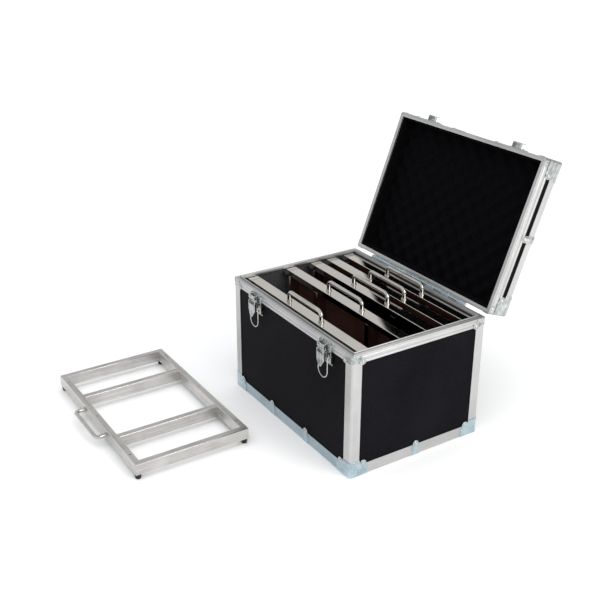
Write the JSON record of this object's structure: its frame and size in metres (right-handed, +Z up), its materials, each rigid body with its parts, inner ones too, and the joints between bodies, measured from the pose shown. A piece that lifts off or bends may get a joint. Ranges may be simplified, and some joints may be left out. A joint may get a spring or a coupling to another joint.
{
  "type": "art supply box",
  "caption": "Aluminium-edged carrying case for art supplies, lid open on hinges, with standing frame racks that hold painting boards, handles on top, and a loose rack beside it",
  "frame": {"origin": "middle of the case's underside, on the surface that its corner braces stand on", "axes": "X along the front of the case, Y from the front to the hinged back, Z up"},
  "size_m": [0.5713, 0.7792, 0.5247],
  "materials": {
    "laminate": "black textured laminate on thin plywood",
    "lining": "dark grey cloth lining",
    "foam": "soft black foam, modelled rigid",
    "aluminium": "satin extruded",
    "zinc_steel": "pressed sheet, zinc plated",
    "bright_steel": "polished, nickel plated",
    "rubber": "black, matte",
    "hardboard": "dark brown hardboard"
  },
  "bodies": {
    "case": {"case_floor": "laminate", "case_front": "laminate", "case_back": "laminate", "case_left_end": "laminate", "case_right_end": "laminate", "case_lining": "lining", "rack_guides": "aluminium", "corner_posts": "aluminium", "bottom_rails": "aluminium", "case_rim": "aluminium", "case_corner_braces": "zinc_steel", "edge_clips": "zinc_steel", "case_rivets": "bright_steel", "latch_plates": "zinc_steel", "pivot_pins": "bright_steel", "hinge_lower_leaf": "zinc_steel"},
    "lid": {"lid_top_panel": "laminate", "lid_side_panels": "laminate", "lid_rim": "aluminium", "lid_edge_rails": "aluminium", "lid_corner_braces": "zinc_steel", "lid_clips": "zinc_steel", "lid_rivets": "bright_steel", "lid_foam": "foam", "lid_catches": "zinc_steel", "hinge_upper_leaf": "zinc_steel", "carry_handle": "rubber", "carry_handle_caps": "zinc_steel"},
    "latch_lever_left": {"latch_lever_left": "zinc_steel"},
    "latch_lever_right": {"latch_lever_right": "zinc_steel"},
    "latch_loop_left": {"latch_loop_left": "bright_steel"},
    "latch_loop_right": {"latch_loop_right": "bright_steel"},
    "rack_1": {"rack_1_frame": "aluminium", "rack_1_handle": "bright_steel", "rack_1_feet": "rubber", "rack_1_board": "hardboard", "rack_1_screws": "bright_steel"},
    "rack_2": {"rack_2_frame": "aluminium", "rack_2_handle": "bright_steel", "rack_2_feet": "rubber"},
    "rack_3": {"rack_3_frame": "aluminium", "rack_3_handle": "bright_steel", "rack_3_feet": "rubber", "rack_3_board": "hardboard", "rack_3_screws": "bright_steel"},
    "rack_4": {"rack_4_frame": "aluminium", "rack_4_handle": "bright_steel", "rack_4_feet": "rubber", "rack_4_board": "hardboard", "rack_4_screws": "bright_steel"},
    "rack_5": {"rack_5_frame": "aluminium", "rack_5_handle": "bright_steel", "rack_5_feet": "rubber", "rack_5_board": "hardboard", "rack_5_screws": "bright_steel"},
    "rack_6": {"rack_6_frame": "aluminium", "rack_6_handle": "bright_steel", "rack_6_feet": "rubber", "rack_6_board": "hardboard", "rack_6_screws": "bright_steel"}
  },
  "joints": [
    {"name": "lid_hinge", "type": "hinge", "parent": "case", "child": "lid", "pos_m": [0, 0.1492, 0.2392], "axis": [-1, 0, 0], "range_deg": [-110.7, 0]},
    {"name": "lever_left", "type": "hinge", "parent": "case", "child": "latch_lever_left", "pos_m": [-0.11, -0.154, 0.222], "axis": [-1, 0, 0], "range_deg": [0, 100]},
    {"name": "lever_right", "type": "hinge", "parent": "case", "child": "latch_lever_right", "pos_m": [0.124, -0.154, 0.222], "axis": [-1, 0, 0], "range_deg": [0, 100]},
    {"name": "loop_left", "type": "hinge", "parent": "latch_lever_left", "child": "latch_loop_left", "pos_m": [-0.11, -0.1526, 0.212], "axis": [1, 0, 0], "range_deg": [-179, 0]},
    {"name": "loop_right", "type": "hinge", "parent": "latch_lever_right", "child": "latch_loop_right", "pos_m": [0.124, -0.1526, 0.212], "axis": [1, 0, 0], "range_deg": [-179, 0]},
    {"name": "rack_1_lift", "type": "slide", "parent": "case", "child": "rack_1", "axis": [0, 0, 1], "range_m": [0, 0.24]},
    {"name": "rack_2_lift", "type": "slide", "parent": "case", "child": "rack_2", "axis": [0, 0, 1], "range_m": [0, 0.24]},
    {"name": "rack_3_lift", "type": "slide", "parent": "case", "child": "rack_3", "axis": [0, 0, 1], "range_m": [0, 0.24]},
    {"name": "rack_4_lift", "type": "slide", "parent": "case", "child": "rack_4", "axis": [0, 0, 1], "range_m": [0, 0.24]},
    {"name": "rack_5_lift", "type": "slide", "parent": "case", "child": "rack_5", "axis": [0, 0, 1], "range_m": [0, 0.24]},
    {"name": "rack_6_lift", "type": "slide", "parent": "case", "child": "rack_6", "axis": [0, 0, 1], "range_m": [0, 0.24]}
  ]
}
